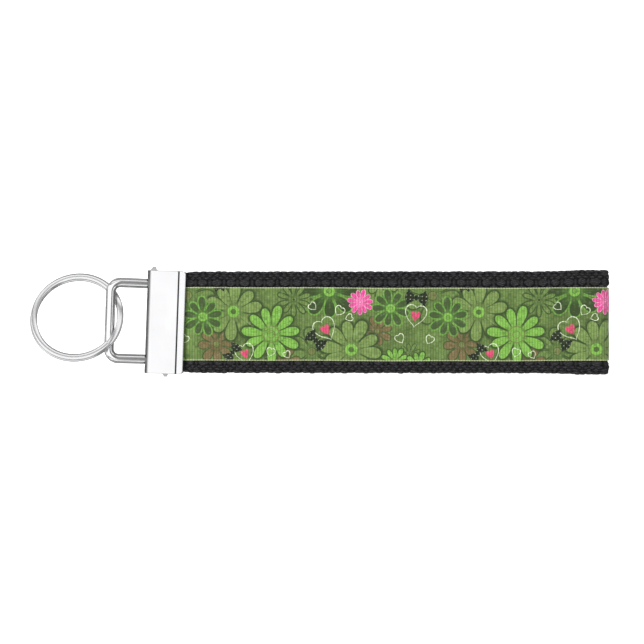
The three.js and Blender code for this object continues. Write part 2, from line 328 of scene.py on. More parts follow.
# ---- printed motifs, as node groups over the strap's own coordinates in millimetres ----

PRINT_REPEAT = 76.0
PETAL_MIDDLE = 0.62        # a petal's middle, and the rim round the disc and the eye, in a daisy's radii
DISC_RIM = 0.022


def motif_group(name, floats, colours):
    """A node group to be filled: the colour under the motif goes in, and the colour with it comes out."""
    tree = bpy.data.node_groups.new(name, "ShaderNodeTree")
    graph = Graph(tree)
    numbers = ("U", "V", "Centre U", "Centre V", "Size", *floats)
    for labels, kind in ((("Under",), "Color"), (numbers, "Float"), (colours, "Color")):
        for label in labels:
            tree.interface.new_socket(label, in_out="INPUT", socket_type="NodeSocket" + kind)
    tree.interface.new_socket("Colour", in_out="OUTPUT", socket_type="NodeSocketColor")
    given = tree.nodes.new("NodeGroupInput").outputs
    du = graph.minus(given["U"], given["Centre U"])
    du = graph.math("WRAP", du, PRINT_REPEAT / 2, -PRINT_REPEAT / 2)
    dv = graph.minus(given["V"], given["Centre V"])
    x = graph.over(du, given["Size"])
    y = graph.over(dv, given["Size"])
    return tree, graph, given, x, y


def close_group(tree, graph, result):
    graph.feed(tree.nodes.new("NodeGroupOutput").inputs[0], result)
    return tree


def turned(graph, x, y, given):
    """x and y turned by the group's Cos and Sin."""
    x_cos, x_sin, y_cos, y_sin = (graph.times(p, given[part]) for p in (x, y) for part in ("Cos", "Sin"))
    return graph.math("ADD", x_cos, y_sin), graph.minus(y_cos, x_sin)


def daisy_group():
    """A daisy: separate petals of unequal length, an even outline or shadow round each, and a ringed disc."""
    tree, graph, given, x, y = motif_group(
        "daisy", ("Turn", "Petals", "Plump", "Outline", "Soft", "Disc R"),
        ("Petal", "Edge", "Ring", "Disc", "Eye", "Core"))
    radius = graph.length(x, y)
    angle = graph.math("ADD", graph.math("ARCTAN2", y, x), given["Turn"])
    turns = graph.times(graph.over(angle, 2 * PI), given["Petals"])
    number = graph.math("WRAP", graph.math("FLOOR", turns), given["Petals"], 0.0)
    uneven = graph.math("MULTIPLY_ADD", graph.math("SINE", graph.times(number, 2.3)), 0.06, 1.0)
    jitter = graph.times(graph.math("SINE", graph.times(number, 4.1)), 0.05)
    reach = graph.times(radius, uneven)
    local = graph.minus(graph.minus(graph.math("FRACT", turns), 0.5), jitter)
    lean = graph.times(graph.over(local, given["Petals"]), 2 * PI)
    along = graph.times(reach, graph.math("COSINE", lean))
    aside = graph.times(reach, graph.math("SINE", lean))
    half = graph.times(given["Plump"], graph.math("MAXIMUM", graph.math("ADD", along, 0.35), 0.05))
    across = graph.over(aside, half)
    out = graph.over(graph.minus(along, PETAL_MIDDLE), 1 - PETAL_MIDDLE)
    oval = graph.length(out, across)
    steep = graph.length(graph.over(out, 1 - PETAL_MIDDLE), graph.over(across, half))
    off = graph.over(graph.times(graph.minus(oval, 1.0), oval), graph.math("MAXIMUM", steep, 0.001))
    edge = graph.ramp(off, given["Outline"], graph.math("ADD", given["Outline"], given["Soft"]), 1.0, 0.0)
    heart = graph.ramp(radius, 0.24, 0.44, 1.0, 0.0)
    petal = graph.ramp(off, -0.012, 0.012, 1.0, 0.0)
    shaded = graph.mix(graph.ramp(along, 0.15, 0.6, 0.35, 0.0), given["Petal"], given["Edge"])
    vein = graph.ramp(graph.math("ABSOLUTE", across), 0.0, 0.22, 0.16, 0.0)
    shaded = graph.mix(graph.times(vein, graph.ramp(along, 0.75, 0.6)), shaded, given["Edge"])
    result = graph.mix(edge, given["Under"], given["Edge"])
    result = graph.mix(graph.math("MAXIMUM", petal, heart), result, shaded)
    disc = given["Disc R"]
    eye = graph.times(disc, 0.48)
    for size, label in ((disc, "Ring"), (graph.minus(disc, DISC_RIM), "Disc"),
                        (eye, "Eye"), (graph.minus(eye, DISC_RIM), "Core")):
        near, far = graph.minus(size, 0.009), graph.math("ADD", size, 0.009)
        result = graph.mix(graph.ramp(radius, near, far, 1.0, 0.0), result, given[label])
    return close_group(tree, graph, result)


def heart_group():
    """A drawn heart: a thin outline and a small filled heart inside it."""
    tree, graph, given, x, y = motif_group("heart", ("Cos", "Sin", "Line", "Inner"), ("Ink", "Fill"))
    across, up = turned(graph, x, y, given)
    cleft = graph.math("SQRT", graph.math("ABSOLUTE", across))
    raised = graph.math("MULTIPLY_ADD", up, 1.1, 0.15)
    lobed = graph.minus(raised, graph.times(cleft, 0.72))
    reach = graph.length(across, lobed)
    off_line = graph.math("ABSOLUTE", graph.minus(reach, 1.0))
    line = graph.ramp(off_line, graph.times(given["Line"], 0.6), given["Line"], 1.0, 0.0)
    near = graph.over(reach, graph.math("MAXIMUM", given["Inner"], 0.001))
    filled = graph.mix(graph.ramp(near, 0.9, 1.1, 1.0, 0.0), given["Under"], given["Fill"])
    return close_group(tree, graph, graph.mix(line, filled, given["Ink"]))


def bow_group():
    """A flat bow: two loops that widen from a small knot, with pin dots."""
    tree, graph, given, x, y = motif_group("bow", ("Cos", "Sin"), ("Cloth", "Dot"))
    across, up = turned(graph, x, y, given)
    out = graph.math("ABSOLUTE", across)
    off = graph.math("ABSOLUTE", up)
    tall = graph.math("MULTIPLY_ADD", out, 0.78, 0.10)
    inside = graph.ramp(graph.minus(off, tall), -0.02, 0.04, 1.0, 0.0)
    short = graph.ramp(graph.math("MULTIPLY_ADD", off, 0.35, out), 1.10, 1.17, 1.0, 0.0)
    knot = graph.ramp(graph.length(across, up), 0.24, 0.29, 1.0, 0.0)
    shape = graph.math("MAXIMUM", graph.times(inside, short), knot)
    cell_x = graph.minus(graph.math("FRACT", graph.times(across, 2.6)), 0.5)
    cell_y = graph.minus(graph.math("FRACT", graph.times(up, 2.6)), 0.5)
    dots = graph.ramp(graph.length(cell_x, cell_y), 0.09, 0.16, 0.6, 0.0)
    cloth = graph.mix(dots, given["Cloth"], given["Dot"])
    return close_group(tree, graph, graph.mix(shape, given["Under"], cloth))


# Inks of the print.
OLIVE = colour(121, 146, 80)
OLIVE_DEEP = colour(78, 104, 50)
OLIVE_SHADE = colour(52, 70, 36)
GROUND = colour(107, 133, 70)
GROUND_DEEP = colour(90, 111, 58)
LIME = colour(126, 180, 76)
LIME_DULL = colour(118, 168, 72)
LIME_SOFT = colour(108, 158, 68)
FOREST = colour(66, 84, 48)
BROWN = colour(122, 104, 70)
MOSS = colour(112, 124, 70)
PINK = colour(232, 76, 154)
PINK_PALE = colour(250, 164, 206)
INK_WHITE = colour(222, 232, 200)
ROSE = colour(218, 72, 116)
BOW_BLACK = colour(18, 20, 18)
SELVAGE_CREAM = colour(196, 206, 160)

# Styles of daisy: petals, plumpness, outline, its softness and the disc's radius; then the inks of the petal,
# its edge, the ring, the disc, the eye and the core.
DAISIES = {
    "olive": (10, 0.180, 0.024, 0.110, 0.20, OLIVE, OLIVE_SHADE, LIME, LIME, OLIVE_DEEP, OLIVE_DEEP),
    "lime": (11, 0.150, 0.022, 0.105, 0.30, LIME, OLIVE_SHADE, BROWN, LIME_DULL, BROWN, LIME_DULL),
    "forest": (9, 0.165, 0.045, 0.045, 0.25, FOREST, LIME_SOFT, LIME_SOFT, LIME, OLIVE_DEEP, LIME_DULL),
    "drawn": (10, 0.115, 0.045, 0.030, 0.16,
              GROUND, OLIVE_SHADE, OLIVE_SHADE, GROUND, OLIVE_SHADE, OLIVE_SHADE),
    "deep": (8, 0.195, 0.030, 0.030, 0.20, OLIVE_SHADE, LIME_SOFT, LIME, LIME, FOREST, LIME_DULL),
    "brown": (8, 0.200, 0.010, 0.080, 0.18, BROWN, OLIVE_SHADE, OLIVE_SHADE, MOSS, BROWN, MOSS),
    "moss": (7, 0.215, 0.010, 0.100, 0.18, GROUND, OLIVE_SHADE, OLIVE_SHADE, MOSS, BROWN, MOSS),
    "pink": (11, 0.145, 0.025, 0.020, 0.17, PINK, PINK_PALE, PINK_PALE, PINK, PINK_PALE, PINK_PALE),
}

# The print's flowers, lowest first: style, place along and across the strap, radius and turn.
FLOWERS = (
    ("moss", 7.6, 9.0, 8.4, 0.5),
    ("moss", 44.0, 11.6, 7.2, 0.2),
    ("moss", 46.2, -8.6, 7.0, 0.6),
    ("brown", 16.6, -6.4, 5.6, 0.3),
    ("brown", 37.0, -12.6, 6.0, 0.9),
    ("brown", 66.4, -2.2, 4.6, 0.1),
    ("deep", 51.6, 10.4, 8.6, 0.35),
    ("olive", 68.0, 13.6, 5.4, 0.2),
    ("olive", 21.9, 3.9, 8.9, 0.1),
    ("olive", 58.4, -8.0, 9.3, 0.45),
    ("drawn", 40.6, 7.7, 5.2, 0.0),
    ("drawn", 76.5, -9.6, 3.6, 0.5),
    ("lime", 33.6, -3.2, 8.7, 0.15),
    ("lime", 72.0, -11.6, 4.2, 0.4),
    ("lime", 3.2, -13.4, 4.6, 0.2),
    ("forest", 12.4, 2.2, 5.9, 0.15),
    ("forest", 70.6, 5.1, 5.7, 0.0),
    ("pink", 61.2, 7.0, 3.8, 0.2),
)

HEART_LINE = 0.15

# Hearts: place along and across, size, turn, and the size of the filled heart inside.
HEARTS = (
    (50.6, -2.0, 3.4, 0.5, 0.42),
    (54.6, 4.0, 1.5, -0.6, 0.0),
    (46.6, 5.4, 1.2, 0.8, 0.0),
    (57.6, 2.0, 1.1, -1.2, 0.0),
    (78.3, 2.4, 3.3, -0.15, 0.42),
    (73.6, -4.6, 1.4, 0.5, 0.0),
    (82.6, -5.0, 1.3, -0.5, 0.0),
    (25.6, -9.6, 2.9, 0.3, 0.42),
    (33.4, -9.0, 1.3, -0.3, 0.0),
    (38.6, -9.8, 1.1, 0.5, 0.0),
)

# Bows: place along and across, size and turn.
BOWS = (
    (47.4, -5.2, 3.1, -0.75),
    (78.6, 8.4, 3.2, -0.1),
    (21.6, -9.0, 2.8, 0.95),
    (17.6, 11.2, 1.5, 0.1),
)


def place_motif(graph, group, under, u, v, values):
    return graph.node("Group", under, u, v, *values, node_tree=group).outputs[0]


def ribbon_material():
    """Printed ribbed ribbon: the ink lies on ribs that run across it, with a pale woven edge on each side."""
    made, graph, shader = material("printed ribbon")
    daisy, heart, bow = daisy_group(), heart_group(), bow_group()
    u, v, _ = graph.split(graph.node("UVMap", uv_map="strap").outputs[0])

    ink = graph.mix(graph.ramp(graph.noise(graph.join(u, v), 0.16, 2.0), 0.35, 0.65), GROUND_DEEP, GROUND)
    for style, along, across, size, turn in FLOWERS:
        ink = place_motif(graph, daisy, ink, u, v, (along, across, size, turn, *DAISIES[style]))
    for along, across, size, turn, inner in HEARTS:
        line = HEART_LINE / size
        ink = place_motif(graph, heart, ink, u, v,
                          (along, across, size, math.cos(turn), math.sin(turn), line, inner, INK_WHITE, ROSE))
    for along, across, size, turn in BOWS:
        ink = place_motif(graph, bow, ink, u, v,
                          (along, across, size, math.cos(turn), math.sin(turn), BOW_BLACK, INK_WHITE))

    # Each rib takes the ink a little differently, and the groove between two ribs is darkened with painted
    # shade.
    ribs = graph.times(u, 1 / RIB_PITCH)
    on_rib = graph.join(graph.math("FLOOR", ribs), graph.times(v, 0.5))
    per_rib = graph.noise(on_rib, 1.7, 4.0, 0.75)
    streaked = graph.mix(graph.ramp(per_rib, 0.46, 0.70, 0.0, 0.60), ink, OLIVE_SHADE)
    streaked = graph.mix(graph.ramp(per_rib, 0.48, 0.30, 0.0, 0.10), streaked, INK_WHITE)
    grain = graph.noise(graph.join(u, graph.times(v, 1.6)), 1.9, 2.0, 0.6)
    streaked = graph.mix(graph.ramp(grain, 0.50, 0.72, 0.0, 0.35), streaked, OLIVE_SHADE)
    from_crest = graph.math("ABSOLUTE", graph.minus(graph.math("FRACT", ribs), 0.5))
    # painted shade in the groove between two ribs
    ribbed = graph.mix(graph.ramp(from_crest, 0.25, 0.5, 0.0, 0.5), streaked, OLIVE_SHADE)
    along_thread = graph.join(graph.times(u, 0.8), graph.times(v, 6.0))
    threads = graph.noise(along_thread, 1.5, 3.0, 0.6)

    # The woven edge: a pale cord, broken by each rib.
    side = graph.math("ABSOLUTE", v)
    edge = graph.ramp(side, RIBBON_HALF_WIDTH - SELVAGE, RIBBON_HALF_WIDTH - SELVAGE + 0.1)
    broken = graph.ramp(from_crest, 0.15, 0.42, 0.70, 0.35)
    graph.fill(shader, {
        "Base Color": graph.mix(graph.times(edge, broken), ribbed, SELVAGE_CREAM),
        "Roughness": 0.78,
        "Specular IOR Level": 0.3,
        "Sheen Weight": 0.12,
        "Sheen Roughness": 0.5,
        "Normal": graph.bump(threads, 0.00005, 0.7)})
    return made


# ---- meshes ----

def make_object(name, vertices, faces, finish, uvs=None, normals=None, lumps=None):
    mesh = bpy.data.meshes.new(name)
    mesh.from_pydata(np.asarray(vertices).tolist(), [], [list(map(int, face)) for face in faces])
    mesh.materials.append(finish)
    mesh.polygons.foreach_set("use_smooth", [True] * len(mesh.polygons))
    if uvs is not None:
        layer = mesh.uv_layers.new(name="strap")
        layer.data.foreach_set("uv", np.asarray(uvs, np.float32).ravel())
    if lumps is not None:
        heights = mesh.attributes.new("lump", "FLOAT", "POINT")
        heights.data.foreach_set("value", np.asarray(lumps, np.float32).ravel())
    if normals is not None:
        mesh.normals_split_custom_set_from_vertices(np.asarray(normals).tolist())
    mesh.update()
    made = bpy.data.objects.new(name, mesh)
    scene.collection.objects.link(made)
    return made


def tube_faces(stations, around):
    """Quads between neighbouring closed loops, whose points are numbered loop by loop."""
    first = np.arange(stations - 1)[:, None] * around
    here = np.arange(around)[None, :]
    beside = (here + 1) % around
    faces = np.stack([first + here, first + around + here, first + around + beside, first + beside], axis=-1)
    return faces.reshape(-1, 4)


def cap_faces(near, far, around):
    """The end faces of a tube, given the first point of its first and its last loop."""
    return [list(range(near, near + around)), list(range(far + around - 1, far - 1, -1))]


def closed_tube(stations, around):
    """All faces of a tube with both of its ends closed."""
    return tube_faces(stations, around).tolist() + cap_faces(0, (stations - 1) * around, around)


def sleeve(name, points, normals, lumps, u, v, finish, flip):
    """A closed skin from stations (first axis) of closed loops (second axis), with end caps.

    u has one value for each station, and v one for each loop point and one more for the loop's end.
    """
    stations, around = points.shape[:2]
    faces = tube_faces(stations, around)
    corner_u = np.stack([u[:-1], u[1:], u[1:], u[:-1]], axis=-1)[:, None, :].repeat(around, 1)
    corner_v = np.stack([v[:-1], v[:-1], v[1:], v[1:]], axis=-1)[None].repeat(stations - 1, 0)
    uvs = np.stack([corner_u, corner_v], axis=-1).reshape(-1, 4, 2)
    if flip:
        faces, uvs = faces[:, ::-1], uvs[:, ::-1]
    vertices = points.reshape(-1, 3)
    count = len(vertices)
    caps = cap_faces(count, count + around, around)
    if flip:
        caps = [cap[::-1] for cap in caps]
    end_normals = []
    for row, other in ((0, 1), (-1, -2)):
        away = (points[row] - points[other]).mean(axis=0)
        end_normals.append(np.tile(away / np.linalg.norm(away), (around, 1)))
    near_cap, far_cap = (np.stack([np.full(around, place), v[:-1]], axis=-1) for place in (u[0], u[-1]))
    all_uvs = np.concatenate([uvs.reshape(-1, 2), near_cap, far_cap[::-1]])
    return make_object(name, np.concatenate([vertices, points[0], points[-1]]), faces.tolist() + caps, finish,
                       all_uvs, np.concatenate([normals.reshape(-1, 3), *end_normals]),
                       np.concatenate([lumps.ravel(), lumps[0], lumps[-1]]))


def surface_normals(points, flip):
    """Normals of a grid of stations and closed loops, from the directions along and around it."""
    along = np.gradient(points, axis=0)
    around = np.roll(points, -1, axis=1) - np.roll(points, 1, axis=1)
    normals = np.cross(along, around)
    if flip:
        normals = -normals
    return normals / np.maximum(np.linalg.norm(normals, axis=2, keepdims=True), 1e-12)


# ---- strap ----

class Face:
    """One strip of the strap: how far its two faces lie from the middle plane."""

    def __init__(self, inner, outer):
        self.inner = inner
        self.outer = outer

    def lay(self, s, aside, up, side):
        """Points for places s along the leg: aside is across the strap, up is away from the middle plane."""
        straight = FOLD_X - GRIP_X
        middle = (self.inner + self.outer) / 2
        turn = np.clip((s - straight) / middle, 0, None)[:, None]
        x = GRIP_X + np.minimum(s, straight)[:, None] + up * np.sin(turn)
        z = MID_Z + side * up * np.cos(turn)
        return np.stack([x, aside, z], axis=-1) * MM

    def length(self):
        return FOLD_X - GRIP_X + (self.inner + self.outer) / 2 * PI / 2


WEB = Face(WEB_INNER, WEB_OUTER)
RIBBON = Face(RIBBON_INNER, RIBBON_OUTER)

# Where the clamp squeezes the strap: heights of the webbing's outer and inner faces above the middle plane.
LIP_S = LIP_X - GRIP_X
GRIPPED_OUTER = 1.95
GRIPPED_INNER = 0.10
PINCHED = 1.45
SWELL = 3.8                # past the lip, both faces swell back to the full thickness in this length
OUTER_KEYS = ((LIP_S - 2.2, GRIPPED_OUTER), (LIP_S - 1.5, PINCHED), (LIP_S - 0.35, PINCHED),
              (LIP_S + 0.9, GRIPPED_OUTER + 0.1), (LIP_S + SWELL, WEB_OUTER))
INNER_KEYS = ((LIP_S, GRIPPED_INNER), (LIP_S + SWELL, WEB_INNER))


def half_width(s):
    """Half the webbing's width: squeezed in the clamp, spread towards the fold, and drawn in at its end."""
    end = WEB.length()
    keys = ((LIP_S, -0.25), (LIP_S + 4, -0.05), (end - 22, 0.0),
            (end - 6, FOLD_SPREAD), (end - 1.0, FOLD_SPREAD), (end, -0.05))
    return WEB_HALF_WIDTH + ease_through(s, keys)


def yarn_edges():
    """Where one yarn meets the next, in millimetres round the webbing from one edge of the outer face."""
    broad = (2 * WEB_HALF_WIDTH - 2 * ROWS_FINE * FINE_PITCH) / (ROWS_FACE - 2 * ROWS_FINE)
    fine = [FINE_PITCH] * ROWS_FINE
    half_turn = fine + [broad] * (ROWS_FACE - 2 * ROWS_FINE) + fine + [EDGE_PITCH] * ROWS_EDGE
    return np.concatenate([[0.0], np.cumsum(half_turn + half_turn)])


YARN_EDGES = yarn_edges()


def loop_samples():
    """Places round the webbing, counted in yarns from one edge of the outer face: fine where it shows."""
    places = []
    for row in range(ROWS):
        y = (YARN_EDGES[row] + YARN_EDGES[row + 1]) / 2 - WEB_HALF_WIDTH
        hidden = row < ROWS_FACE and abs(y - RIBBON_Y) < RIBBON_HALF_WIDTH - 1.5
        on_inner = ROWS_TURN <= row < ROWS_TURN + ROWS_FACE
        steps = 2 if hidden else 5 if on_inner else 8
        places += [row + step / steps for step in range(steps)]
    return np.array(places)


def weave(t, u):
    """Height of the weave, 0 to 1, at t yarns round the section and u millimetres along the strap.

    A yarn rises in a lump over one weft and dives under the next, which shows as a ridge between lumps.
    """
    row = np.floor(t)
    from_middle = 2 * (t - row) - 1
    place = row % ROWS_TURN
    fine = (place < ROWS_FINE) | ((place >= ROWS_FACE - ROWS_FINE) & (place < ROWS_FACE))
    drift = 0.06 * np.sin(0.21 * u + 0.4 * row) + 0.04 * np.sin(0.57 * u + 1.3)
    turns = u / WEFT_PITCH * np.where(fine, 2, 1) + 0.5 * (row % 2) + drift
    along = turns - np.round(turns)
    long = LUMP_HALF + 0.04 * np.sin(1.9 * row + 0.8 * u)
    lump = np.sqrt(np.clip(1 - (along / long) ** 2 - 0.9 * from_middle ** 2, 0, 1))
    from_ridge = (0.5 - np.abs(along)) / RIDGE_HALF
    ridge = RIDGE_HIGH * np.sqrt(np.clip(1 - from_ridge ** 2 - 0.55 * from_middle ** 4, 0, 1))
    return np.maximum(lump, np.where(fine, 0.7, 1.0) * ridge), along


def webbing_surface(s, side):
    """The woven strip: a flat section with round edges, raised by its weave."""
    t = loop_samples()[None, :]
    u = strap_place(s, side, WEB)[:, None]
    lump, along = weave(t, u)
    squeezed = ease_through(s, ((LIP_S - 0.5, 0.35), (LIP_S + 3, 1.0)))[:, None]
    swell = 1 + 0.12 * np.sin(2.9 * np.floor(t) + 0.35 * u)
    height = YARN_HIGH * squeezed * swell * lump
    t = t + 0.10 * (2 * (t % 1) - 1) * np.cos(2 * PI * along)

    outer = ease_through(s, OUTER_KEYS)[:, None]
    inner = ease_through(s, INNER_KEYS)[:, None]
    thick = (outer - inner) / 2 - YARN_HIGH * squeezed
    middle = (outer + inner) / 2
    flat = half_width(s)[:, None] - thick - YARN_HIGH
    flat = flat + 0.10 * np.sin(0.9 * u + side) * np.sin(0.23 * u)
    t = np.where(t < 0, t + ROWS, t)
    turned = np.where(t >= ROWS_TURN, t - ROWS_TURN, t)
    facing = np.where(t >= ROWS_TURN, -1.0, 1.0)
    across = np.interp(turned, np.arange(ROWS_FACE + 1), YARN_EDGES[:ROWS_FACE + 1]) / WEB_HALF_WIDTH - 1
    round_edge = np.clip((turned - ROWS_FACE) / ROWS_EDGE, 0, 1) * PI
    reach = thick + height * np.where(turned > ROWS_FACE, 1.35, 1.0)
    aside = facing * (across * flat + reach * np.sin(round_edge))
    up = middle + facing * reach * np.cos(round_edge)
    beside_ribbon = smooth((np.abs(aside - RIBBON_Y) - RIBBON_HALF_WIDTH) / 1.2)
    puffed = ease_through(s, ((WEB.length() - 4.5, 0.0), (WEB.length(), FOLD_PUFF)))[:, None]
    up = up + puffed * beside_ribbon * np.where(up > middle, 1.0, 0.0)
    return WEB.lay(s, aside, up, side), lump


def webbing_v():
    """Distance round the webbing's section at each of its loop samples, in millimetres."""
    return np.interp(np.append(loop_samples(), ROWS), np.arange(ROWS + 1), YARN_EDGES) - WEB_HALF_WIDTH


def strap_place(s, side, face):
    """Place along the whole folded strip: the back leg carries on where the front one ends."""
    return s if side > 0 else 2 * face.length() - s


# Points of the ribbon's section: over its face, round each edge and along its underside.
RIBBON_LOOP = 28
RIBBON_EDGE_LOOP = 5
RIBBON_UNDER_LOOP = 8


def ribbon_surface(s, side):
    """The ribbed strip: rounded ribs across it, a slightly raised cord at each edge, and a flat underside."""
    face = np.linspace(-1, 1, RIBBON_LOOP)
    edge = PI / 2 - PI * np.arange(1, RIBBON_EDGE_LOOP + 1) / (RIBBON_EDGE_LOOP + 1)
    under = np.linspace(1, -1, RIBBON_UNDER_LOOP)
    base = np.concatenate([face, np.full(edge.size, 1.0), under, np.full(edge.size, -1.0)])[None, :]
    above, below = np.full(face.size, PI / 2), np.full(under.size, -PI / 2)
    angle = np.concatenate([above, edge, below, PI - edge[::-1]])[None, :]
    u = strap_place(s, side, RIBBON)[:, None]
    rib = np.sqrt(np.clip(1 - (2 * (u / RIB_PITCH % 1) - 1) ** 2, 0, 1))
    thick = (RIBBON_OUTER - RIBBON_INNER) / 2
    outer = ease_through(s, OUTER_KEYS)[:, None] + (RIBBON_OUTER - WEB_OUTER)
    centre = outer - thick
    half = RIBBON_HALF_WIDTH - thick + 0.05 * (rib - 0.5) - 0.04
    cord = smooth((np.abs(base) - 0.955) / 0.03)
    lift = RIB_HIGH * (rib - 1) + 0.03 * cord
    on_top = np.sin(angle) > 0.1
    quilt = 0.05 * np.sin(2 * PI * u / (2 * WEFT_PITCH) + 0.4) * np.cos(5.5 * base + 0.3 * np.sin(0.2 * u))
    sway = 0.10 * np.sin(0.047 * u + 0.6) + 0.05 * np.sin(0.16 * u)
    aside = RIBBON_Y + sway + base * half + thick * np.cos(angle)
    up = centre + thick * np.sin(angle) + np.where(on_top, lift + quilt - 0.05, 0.0)
    return RIBBON.lay(s, aside, up, side), np.broadcast_to(rib, up.shape)


def ribbon_v():
    """Distance across the ribbon from its middle, at each point of its loop."""
    face = np.linspace(-1, 1, RIBBON_LOOP) * RIBBON_HALF_WIDTH
    edge = np.full(RIBBON_EDGE_LOOP, RIBBON_HALF_WIDTH)
    under = np.linspace(1, -1, RIBBON_UNDER_LOOP) * RIBBON_HALF_WIDTH
    return np.concatenate([face, edge, under, -edge, face[:1]])


def piece_bounds(face):
    """Where one leg's pieces begin and end: one for each bend line, parted half-way between bend lines."""
    middles = [x + BEND_STEP / 2 - GRIP_X for x in BEND_X[:-1]]
    return list(zip([0.0, *middles], [*middles, face.length()]))


def strap_pieces(kind, face, surface, v, step, finish):
    """Both legs of one strip, in pieces that each cross one bend line."""
    for side, sign in (("front", 1), ("back", -1)):
        lengths = [f"{kind}_{side}_{i}" for i in range(1, BENDS)]
        nodes = [f"{kind}_end_{side}", *lengths, f"{kind}_fold_{side}"]
        for index, (start, end) in enumerate(piece_bounds(face)):
            count = max(2, math.ceil((end - start) / step))
            s = start + (end - start) * np.arange(-1, count + 2) / count
            points, lumps = surface(s, sign)
            normals = surface_normals(points, sign < 0)[1:-1]
            s, points, lumps = s[1:-1], points[1:-1], lumps[1:-1]
            u = strap_place(s, sign, face)
            piece = sleeve(f"{kind}_skin_{side}_{index}", points, normals, lumps, u, v, finish, sign < 0)
            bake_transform(piece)
            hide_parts(nodes[index], nodes[index + 1])


# ---- metal ----

def swept(name, loops, finish):
    """A closed solid skinned over loops of points in metres, and capped at both ends."""
    made = make_object(name, loops.reshape(-1, 3), closed_tube(*loops.shape[:2]), finish)
    tidy_normals(made)
    return made


SHARP = math.radians(40)


def tidy_normals(made):
    """Faces outwards, and a crease in the shading where two faces meet at more than SHARP."""
    work = bmesh.new()
    work.from_mesh(made.data)
    bmesh.ops.recalc_face_normals(work, faces=work.faces)
    work.to_mesh(made.data)
    work.free()
    made.data.polygons.foreach_set("use_smooth", [True] * len(made.data.polygons))
    made.data.set_sharp_from_angle(angle=SHARP)


def apply_modifiers(made):
    shown = bpy.context.evaluated_depsgraph_get()
    shown.update()
    final = bpy.data.meshes.new_from_object(made.evaluated_get(shown))
    old = made.data
    made.modifiers.clear()
    made.data = final
    bpy.data.meshes.remove(old)


def combine(made, other, operation):
    """made with other cut away or added, and other gone."""
    modifier = made.modifiers.new("combine", "BOOLEAN")
    modifier.operation = operation
    modifier.solver = "EXACT"
    modifier.object = other
    apply_modifiers(made)
    bpy.data.objects.remove(other)


def turn_z(points, angle):
    x, y, z = np.moveaxis(points, -1, 0)
    cos, sin = math.cos(angle), math.sin(angle)
    return np.stack([x * cos - y * sin, x * sin + y * cos, z], -1)


def in_clamp(points):
    """Points given in the clamp's own frame, in millimetres, as places in metres."""
    return (turn_z(points, CLAMP_SKEW) + (CLAMP_X, 0, MID_Z)) * MM


TEETH = 11
TOOTH_PITCH = 2.6
TOOTH_TALL = 0.4
TOOTH_DEEP = 0.8
TOOTH_HALF = 0.5
TOOTH_TIP = 0.1
TOOTH_FROM_LIP = 1.0
LUG_BASE = 2.4
LUG_TALL = 1.1
LUG_UNDER = 2.48
LUG_INSET = 0.08
LUG_ROOT = 0.3
LUG_DROP = 0.55            # both lugs slope down by this much towards their tips
LUG_X = {1: -4.0, -1: 0.1}
SLOT_WIDE = 2 * (BAIL_WIRE_R + 0.35)
SLOT_TALL = 5.0
SLOT_CORNER_R = 0.9
SLOT_DEEP = SPINE_R - 0.05


def arc(x, z, radius, start, end, steps):
    angles = np.radians(np.linspace(start, end, steps + 1))
    return np.stack([x + radius * np.cos(angles), z + radius * np.sin(angles)], axis=-1)


def jaw_outline():
    """The sheet's section above the middle plane: up the spine, over the crease to the lip, and back inside.

    With it goes the way in which each point moves where the sheet's ends are rounded off.
    """
    half = CLAMP_DEPTH / 2
    top = CLAMP_HEIGHT / 2
    crease = half - CREASE_FROM_LIP
    dip = np.linspace(-1, 1, 15)
    depth = CREASE_DEEP * (0.5 + 0.5 * np.cos(PI * dip)) ** 0.8
    valley = np.stack([crease + CREASE_HALF * dip, top - depth], -1)
    flat = np.linspace(-half + SPINE_R, crease - CREASE_HALF, 12)[1:-1]
    crown = np.stack([flat, np.full(flat.size, top)], -1)
    parts = (
        (arc(-half + SPINE_R, top - SPINE_R, SPINE_R, 180, 90, 18), -arc(0, 0, 1, 180, 90, 18)),
        (crown, (0, -1)),
        (valley, (0, -1)),
        (arc(half - LIP_EDGE_R, top - LIP_EDGE_R, LIP_EDGE_R, 90, 0, 7), -arc(0, 0, 1, 90, 0, 7)),
        ([[half, top - SHEET + 0.1], [half - 0.1, top - SHEET]], (-1, 0)),
        ([[half - 1.6, top - SHEET], [0, top - SHEET]], (0, 0)),
        (arc(-half + SPINE_R, top - SPINE_R, SPINE_R - SHEET, 90, 180, 10), (0, 0)))
    outline = np.concatenate([np.asarray(points, float) for points, _ in parts])
    inward = np.concatenate([np.broadcast_to(way, np.shape(points)) for points, way in parts])
    return outline, inward


